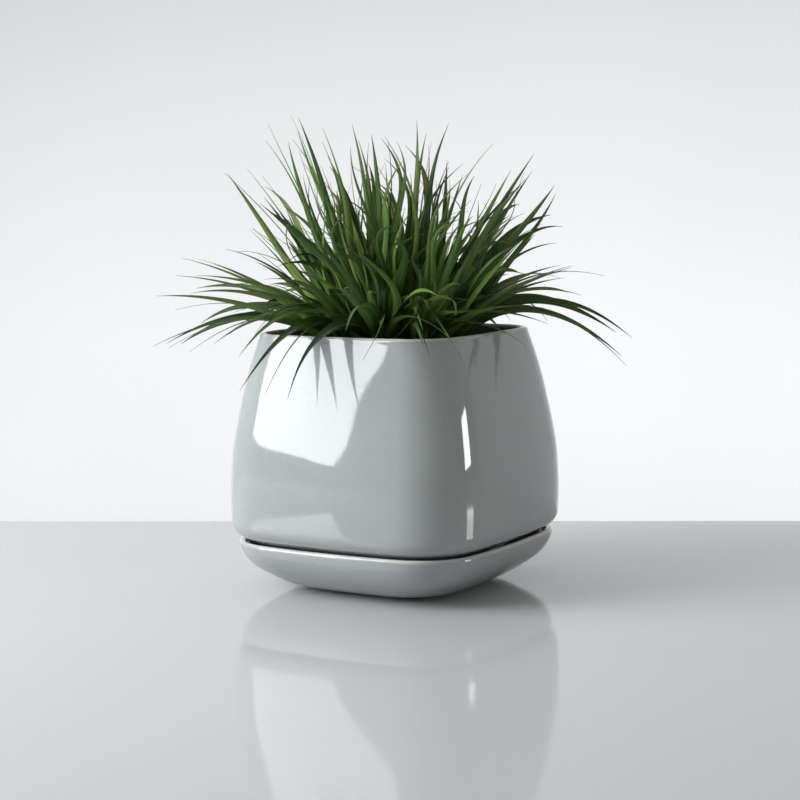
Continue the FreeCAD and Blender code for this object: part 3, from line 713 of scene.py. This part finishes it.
# ---------------------------------------------------------------- grass

# Each leaf is an arch: the heading it leans to in degrees, how far its tip reaches from the
# planter's axis, the level of its tip, the level that it springs towards on the way, and its
# width. Fans of leaves give the plant its outline. Each spreads its leaves evenly between two
# headings and draws the rest of a leaf between limits, in mm, as in the CAD.
FANS = [
    # over the rim and nearly level, then hanging, to the left
    {
        "leaves": 6, "to": (195, 232),
        "reach": (150, 185), "tip": (220, 250),
        "lift": (206, 236), "width": (6, 8),
    },
    {
        "leaves": 4, "to": (195, 228),
        "reach": (165, 185), "tip": (165, 200),
        "lift": (224, 232), "width": (7, 10),
    },
    # hanging over the front, the widest of all
    {
        "leaves": 3, "to": (250, 275),
        "reach": (140, 150), "tip": (140, 160),
        "lift": (232, 240), "width": (8, 12),
    },
    {
        "leaves": 1, "to": (320, 320),
        "reach": (135, 145), "tip": (165, 180),
        "lift": (230, 240), "width": (8, 9),
    },
    # nearly level, then hanging, to the right
    {
        "leaves": 3, "to": (5, 45),
        "reach": (130, 145), "tip": (225, 250),
        "lift": (214, 228), "width": (8, 9),
    },
    {
        "leaves": 4, "to": (5, 40),
        "reach": (165, 185), "tip": (155, 205),
        "lift": (240, 250), "width": (7, 10),
    },
    # the tall crown, highest on the left, and its two shoulders
    {
        "leaves": 8, "to": (180, 265),
        "reach": (70, 100), "tip": (310, 355),
        "lift": (250, 290), "width": (7, 9),
    },
    {
        "leaves": 9, "to": (185, 380),
        "reach": (20, 60), "tip": (315, 350),
        "lift": (268, 280), "width": (7, 9),
    },
    {
        "leaves": 3, "to": (200, 240),
        "reach": (105, 135), "tip": (300, 318),
        "lift": (230, 290), "width": (7, 9),
    },
    {
        "leaves": 9, "to": (355, 410),
        "reach": (100, 130), "tip": (265, 330),
        "lift": (236, 280), "width": (8, 10),
    },
]
FAN_SEED = 1
INNER_HEADINGS = [45, 135, 225, 315]
OUTER_HEADINGS = [15, 60, 105, 150, 195, 240, 285, 330]
INNER_RING = 14.0
OUTER_RING = 33.0
ROOT_LEVEL = 169.0
# how far round its crown a leaf may root
INNER_ROOTS = 7.0
OUTER_ROOTS = 9.0
# a fan's leaf that reaches less than this grows from an inner crown
UPRIGHT_REACH = 82
# further leaves for each inner crown, each outer crown, and the outer crowns at the back
INNER_EXTRA = 30
OUTER_EXTRA = 32
BACK_EXTRA = 34
BACK_HEADINGS = (55, 165)
# how far the heading of a further leaf may stray from its crown's, in degrees
INNER_SPREAD = 50
OUTER_SPREAD = 30
EXTRA_SEED = 40
TUFT_SEED = 500
# the bend of an arch, as a share of the way out
SPRING = 0.42
# sway, wave and flick of a leaf: the tall ones, whose tip is over this level, wander most
TALL_TIP = 250
TALL = {"sway": 16, "wave": 8, "flick": 10}
SHORT = {"sway": 9, "wave": 3, "flick": 6}
FLICK_RISE = (-16, 12)
# leaves whose tip is under this level are darker, and the fans' ones broader than the rest
LOW_TIP = 200
BROAD = 1.35
PLAIN = 1.08
# a leaf is lifted until it clears the rim by this gap, or it is left out
LEAF_GAP = 1.5
LIFT_STEP = 4
FAN_TRIES = 30
EXTRA_TRIES = 9
RIM_CORNER, RIM_LEVEL = POT_WALL[-1][1:]
LINER_HALF = 71.2
LINER_CORNER = 28.2
LEAF_STEPS = 26


def angle_between(first, second):
    """The angle between two headings, in degrees."""
    return abs((first - second + 180) % 360 - 180)


# kinds of further leaf: how many in a hundred of each, then the limits of reach, tip level,
# level that it springs towards, and width
INNER_KINDS = [
    (68, (18, 82), (262, 338), (232, 282), (4, 8)),
    (32, (62, 108), (236, 290), (234, 268), (5, 9)),
]
OUTER_KINDS = [
    (32, (78, 116), (202, 228), (212, 236), (7, 11)),
    (24, (122, 174), (176, 244), (222, 246), (5, 9)),
    (24, (72, 128), (226, 272), (216, 250), (5, 9)),
    (20, (58, 118), (262, 318), (232, 272), (4, 8)),
]


def fan_leaves():
    """The leaves of every fan, each as its heading, reach, tip level, lift and width."""
    draw = random.Random(FAN_SEED)
    leaves = []
    for fan in FANS:
        first, last = fan["to"]
        for number in range(fan["leaves"]):
            heading = first + (last - first) * (number + 0.5) / fan["leaves"]
            drawn = [draw.uniform(*fan[what]) for what in ("reach", "tip", "lift", "width")]
            leaves.append((heading % 360, *drawn))
    return leaves


def drawn_leaf(draw, heading, inner):
    """A leaf drawn at random from the kinds that its crown has."""
    most = INNER_SPREAD if inner else OUTER_SPREAD
    lean = heading + draw.uniform(-most, most)
    kinds = INNER_KINDS if inner else OUTER_KINDS
    kind = draw.choices(kinds, weights=[k[0] for k in kinds])[0]
    reach, tip, lift, width = (draw.uniform(*pair) for pair in kind[1:])
    return (lean, reach, tip, lift, width)


def box_distance(x, y, half, corner):
    """How far a plan point is outside a rounded square, or, negative, inside it."""
    dx = abs(x) - half + corner
    dy = abs(y) - half + corner
    return math.hypot(max(dx, 0), max(dy, 0)) + min(max(dx, dy), 0) - corner


class Arch:
    """The centre line of a leaf, with a sway to one side, a wave and a flick at its tip."""

    def __init__(self, root, leaf, sway, wave, flick):
        heading, reach, tip, lift, width = leaf
        turn = math.radians(heading)
        self.root = root
        self.out = Vector((math.cos(turn), math.sin(turn), 0))
        self.side = Vector((-math.sin(turn), math.cos(turn), 0))
        self.flick = flick
        self.sway = sway
        self.wave = wave
        self.end = self.out * reach + Vector((0, 0, tip)) - flick
        self.width = width
        self.lift = lift

    def at(self, t):
        bend = self.root + (self.end - self.root) * SPRING
        bend.z = self.lift
        place = self.root * (1 - t) ** 2 + bend * (2 * t * (1 - t)) + self.end * t**2
        aside = self.sway * math.sin(math.pi * t) + self.wave * math.sin(2 * math.pi * t)
        return place + self.flick * t**3 + self.side * (aside * t)

    def clears_the_pot(self):
        """Whether the leaf is inside the grow pot, outside the pot, or over the rim."""
        margin = LEAF_GAP + self.width / 2
        for step in range(1, LEAF_STEPS + 1):
            place = self.at(step / LEAF_STEPS)
            if place.z > RIM_LEVEL + margin:
                continue
            in_liner = box_distance(place.x, place.y, LINER_HALF, LINER_CORNER) < -margin
            off_pot = box_distance(place.x, place.y, pot_half(place.z), RIM_CORNER) > margin
            if not (in_liner or off_pot):
                return False
        return True


def width_at(t):
    """Narrow at the sheath, widest before the middle, and a long fine tip."""
    swell = 0.55 + 0.45 * math.sin(math.pi / 2 * min(t / 0.38, 1))
    return swell * max(1 - t**2, 0)


# where the points of a leaf's section lie, from edge to edge
ACROSS = (-1.0, -0.52, 0.0, 0.52, 1.0)
# the points of one section in order round it, and how far across the leaf each of them is
RING = (0, 1, 2, 3, 4, 7, 6, 5)
RING_ACROSS = (0.0, 0.24, 0.5, 0.76, 1.0, 0.24, 0.5, 0.76)
# limits of a leaf's twist and first roll in radians, its fold and its thickness in mm
TWIST = (-0.7, 0.7)
FIRST_ROLL = (0.25, 1.05)
FOLD = (0.16, 0.34)
THICK = (0.35, 0.5)
# the share of further leaves that roll the other way
OTHER_WAY = 0.4
# the share of its thickness that a leaf loses by its tip, and the least that is left
THINNING = 0.7
LEAST_THICK = 0.05
LEAST_HALF = 0.10


def add_leaf(mesh, arch, draw, tone, of_fan):
    """Adds one folded blade to the lists that a tuft's mesh is made from."""
    vertices, faces, uvs, tones = mesh
    twist = draw.uniform(*TWIST)
    lie = 1 if arch.side.dot(toward) > 0 else -1
    if not of_fan and draw.random() < OTHER_WAY:
        lie = -lie
    start_roll = lie * draw.uniform(*FIRST_ROLL)
    fold = draw.uniform(*FOLD)
    thick = draw.uniform(*THICK)
    first = len(vertices)
    for step in range(LEAF_STEPS + 1):
        t = step / LEAF_STEPS
        place = arch.at(t)
        along = (arch.at(min(t + 0.01, 1)) - arch.at(max(t - 0.01, 0))).normalized()
        over = along.cross(arch.side).normalized()
        across = over.cross(along).normalized()
        spin = start_roll + twist * t
        wide_way = across * math.cos(spin) + over * math.sin(spin)
        high_way = over * math.cos(spin) - across * math.sin(spin)
        half = max(arch.width * width_at(t) / 2, LEAST_HALF)
        closing = fold * (1.5 - t)
        for share in ACROSS:
            rise = closing * half * abs(share)
            point = place + wide_way * (half * share) + high_way * rise
            vertices.append(point * MM)
        for share in ACROSS[1:-1]:
            under = thick * (1 - abs(share)) * (1 - THINNING * t)
            rise = closing * half * abs(share) - under - LEAST_THICK
            point = place + wide_way * (half * share) + high_way * rise
            vertices.append(point * MM)
    per = len(RING)
    for step in range(LEAF_STEPS):
        low, high = first + step * per, first + (step + 1) * per
        v0, v1 = step / LEAF_STEPS, (step + 1) / LEAF_STEPS
        for i in range(per):
            a, b = RING[i], RING[(i + 1) % per]
            faces.append((low + a, low + b, high + b, high + a))
            u0, u1 = RING_ACROSS[a], RING_ACROSS[b]
            uvs.extend([(u0, v0), (u1, v0), (u1, v1), (u0, v1)])
    top = first + LEAF_STEPS * per
    faces.append(tuple(top + i for i in RING))
    uvs.extend((RING_ACROSS[i], 1.0) for i in RING)
    faces.append(tuple(first + i for i in reversed(RING)))
    uvs.extend((RING_ACROSS[i], 0.0) for i in reversed(RING))
    tones.extend([tone] * (LEAF_STEPS * per + 2))


def leaf_tone(draw, leaf):
    """Tone of a leaf: dark to light green, some yellow-green, and a few with dry tips."""
    light = draw.betavariate(1.5, 1.7)
    yellow = draw.random() ** 2.2 * 0.9
    if leaf[2] < LOW_TIP:
        light *= 0.55
        yellow *= 0.35
    dry = draw.random() ** 8
    return (light, yellow, dry, 1.0)


def make_tuft(number, heading, inner, leaves, material):
    """One division of the plant: its leaves, each with whether it belongs to a fan."""
    ring = INNER_RING if inner else OUTER_RING
    turn = math.radians(heading)
    crown = Vector((ring * math.cos(turn), ring * math.sin(turn), ROOT_LEVEL))
    radius = INNER_ROOTS if inner else OUTER_ROOTS
    draw = random.Random(TUFT_SEED + number)
    mesh = ([], [], [], [])
    for leaf, of_fan in leaves:
        spread = radius * math.sqrt(draw.random())
        around = draw.uniform(0, 2 * math.pi)
        root = crown + Vector((spread * math.cos(around), spread * math.sin(around), 0))
        manner = TALL if leaf[2] > TALL_TIP else SHORT
        sway = draw.gauss(0, manner["sway"])
        wave = draw.gauss(0, manner["wave"])
        aside = [draw.gauss(0, manner["flick"]) for _ in range(2)]
        flick = Vector((*aside, draw.uniform(*FLICK_RISE)))
        arch = Arch(root, leaf, sway, wave, flick)
        for _ in range(FAN_TRIES if of_fan else EXTRA_TRIES):
            if arch.clears_the_pot():
                break
            arch.lift += LIFT_STEP
        else:
            continue
        arch.width *= BROAD if of_fan and leaf[2] < LOW_TIP else PLAIN
        add_leaf(mesh, arch, draw, leaf_tone(draw, leaf), of_fan)
    vertices, faces, uvs, tones = mesh
    tuft = new_mesh("grass_%02d" % number, vertices, faces)
    data = tuft.data
    layer = data.uv_layers.new(name="leaf")
    layer.data.foreach_set("uv", [part for uv in uvs for part in uv])
    colours = data.color_attributes.new("tone", "FLOAT_COLOR", "CORNER")
    spread_tones = []
    for face, tone in zip(data.polygons, tones):
        spread_tones.extend(tone * face.loop_total)
    colours.data.foreach_set("color", spread_tones)
    shade(tuft, 72)
    dress(tuft, material)
    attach(tuft, "grow_insert")
    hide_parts("tuft_%02d" % number)


def make_grass():
    """The whole plant: each fan's leaf goes to the nearest crown, then further leaves."""
    material = leaf()
    crowns = [(h, True, []) for h in INNER_HEADINGS] + [(h, False, []) for h in OUTER_HEADINGS]
    for blade in fan_leaves():
        upright = blade[1] < UPRIGHT_REACH
        alike = [crown for crown in crowns if crown[1] == upright]
        nearest = min(alike, key=lambda crown: angle_between(crown[0], blade[0]))
        nearest[2].append((blade, True))
    for number, (heading, inner, leaves) in enumerate(crowns, start=1):
        draw = random.Random(EXTRA_SEED + number)
        behind = BACK_HEADINGS[0] < heading < BACK_HEADINGS[1]
        extra = INNER_EXTRA if inner else (BACK_EXTRA if behind else OUTER_EXTRA)
        for _ in range(extra):
            leaves.append((drawn_leaf(draw, heading, inner), False))
        make_tuft(number, heading, inner, leaves, material)


make_grass()


# ---------------------------------------------------------------- studio

TABLE_BACK = 0.26
TABLE_TURN = 4.0
TABLE_REACH = 3.2
TABLE_DEPTH = 5.12
TABLE_THICK = 0.03
BACKDROP_RADIUS = 3.4
BACKDROP_SPREAD = 150
BACKDROP_FOOT = -1.5
BACKDROP_TOP = 4.0
BACKDROP_ROWS = 24


def make_table():
    """A glossy pale slab whose back edge runs nearly square to the view."""
    turn = math.radians(CAMERA_AZIMUTH - TABLE_TURN)
    back = Vector((-math.sin(turn), math.cos(turn), 0))
    side = Vector((math.cos(turn), math.sin(turn), 0))
    corners = []
    for level in (-TABLE_THICK, 0.0):
        for across, along in ((-1, -1), (1, -1), (1, 0), (-1, 0)):
            place = side * (across * TABLE_REACH) + back * TABLE_BACK
            place += back * (along * TABLE_DEPTH)
            corners.append((place.x, place.y, level))
    faces = [(3, 2, 1, 0), (4, 5, 6, 7), (0, 1, 5, 4), (1, 2, 6, 5), (2, 3, 7, 6), (3, 0, 4, 7)]
    return new_mesh("table", corners, faces)


def make_backdrop():
    """A pale curved wall well behind the table."""
    points = []
    faces = []
    centre = math.radians(90 + CAMERA_AZIMUTH)
    for row in range(BACKDROP_ROWS + 1):
        angle = centre + math.radians(BACKDROP_SPREAD) * (row / BACKDROP_ROWS - 0.5)
        x, y = BACKDROP_RADIUS * math.cos(angle), BACKDROP_RADIUS * math.sin(angle)
        points.append((x, y, BACKDROP_FOOT))
        points.append((x, y, BACKDROP_TOP))
    for row in range(BACKDROP_ROWS):
        a = 2 * row
        faces.append((a, a + 2, a + 3, a + 1))
    wall = new_mesh("backdrop", points, faces)
    for face in wall.data.polygons:
        face.use_smooth = True
    return wall


table = dress(make_table(), table_top())
backdrop = dress(make_backdrop(), backdrop_cloth())


def area_light(name, heading, distance, height, size, power, target, roll=0.0):
    """A softbox on a heading round the planter, aimed at a level on its axis."""
    data = bpy.data.lights.new(name, "AREA")
    data.shape = "RECTANGLE"
    data.size, data.size_y = size
    data.energy = power
    light = bpy.data.objects.new(name, data)
    scene.collection.objects.link(light)
    turn = math.radians(heading)
    light.location = (distance * math.cos(turn), distance * math.sin(turn), height)
    aim = Vector((0, 0, target)) - light.location
    light.rotation_mode = "QUATERNION"
    twist = Quaternion((0, 0, 1), math.radians(roll))
    light.rotation_quaternion = aim.to_track_quat("-Z", "Y") @ twist
    light.visible_camera = False
    return light


def make_lights():
    """Softboxes round the planter. The wash lights the backdrop; the fill isn't reflected."""
    key = area_light("key_softbox", 231, 1.25, 0.74, (0.74, 1.10), 20, 0.16, roll=-9)
    key.data.color = (0.95, 0.98, 1.0)
    area_light("strip", 24, 1.5, 0.27, (0.34, 0.26), 3.4, 0.16)
    area_light("overhead", 180, 0.4, 2.0, (1.6, 1.2), 8, 0.1)
    wash = area_light("backdrop_wash", 121, 1.7, -0.5, (3.0, 0.5), 29, 0.2)
    fill = area_light("fill", 214, 1.7, 0.5, (1.2, 1.0), 25, 0.04)
    fill.visible_glossy = False
    spot = -toward * BACKDROP_RADIUS + Vector((0, 0, 0.55))
    wash.rotation_quaternion = (spot - wash.location).to_track_quat("-Z", "Y")


make_lights()
world = bpy.data.worlds.new("studio")
world.use_nodes = True
sky = world.node_tree.nodes["Background"]
sky.inputs["Color"].default_value = (0.97, 0.96, 0.94, 1)
sky.inputs["Strength"].default_value = 0.33
scene.world = world
